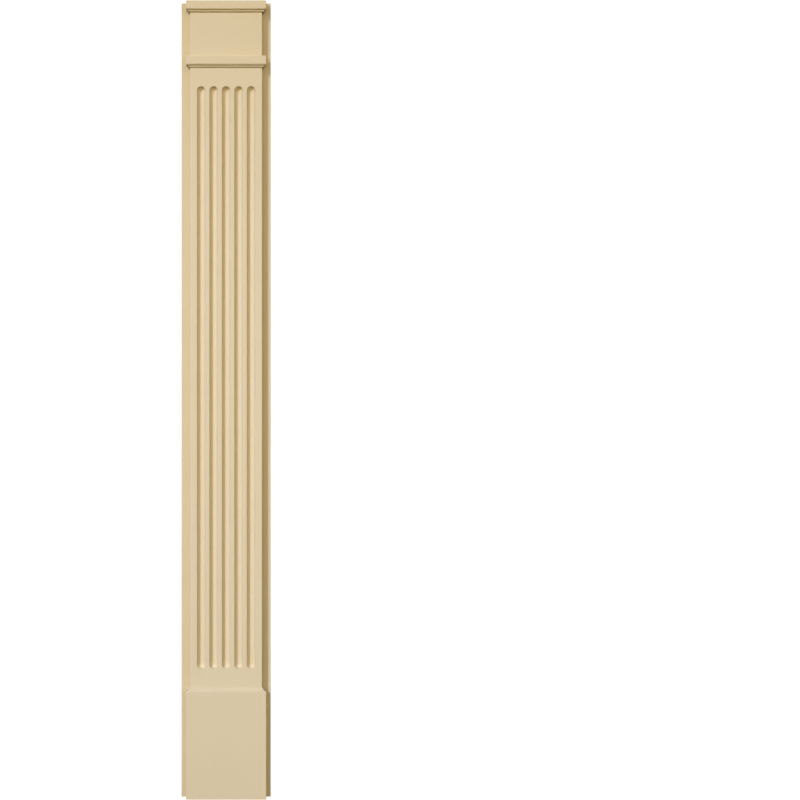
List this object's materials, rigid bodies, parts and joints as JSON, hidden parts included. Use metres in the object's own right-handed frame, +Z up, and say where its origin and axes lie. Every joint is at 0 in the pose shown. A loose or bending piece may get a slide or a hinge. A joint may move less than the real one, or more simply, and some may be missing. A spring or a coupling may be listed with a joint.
{
  "type": "fluted pilaster",
  "caption": "Fluted wall pilaster: a flat shaft with round-ended flutes on a backing board, with a plinth block, a plain frieze and mitred cap and neck mouldings.",
  "frame": {"origin": "centre of the backing board's flat back face, where the pilaster is fixed to the wall", "axes": "+Z up along the shaft, +Y out of the back into the wall, so the fluted front looks towards -Y"},
  "size_m": [0.257, 0.0517, 2.286],
  "materials": {
    "tan_primer": "factory primer, matt tan with a slight orange peel, on moulded rigid foam"
  },
  "bodies": {
    "root": {"backing_board": "tan_primer", "fluted_shaft": "tan_primer", "cap_moulding": "tan_primer", "neck_moulding": "tan_primer", "plinth_block": "tan_primer"}
  },
  "joints": []
}
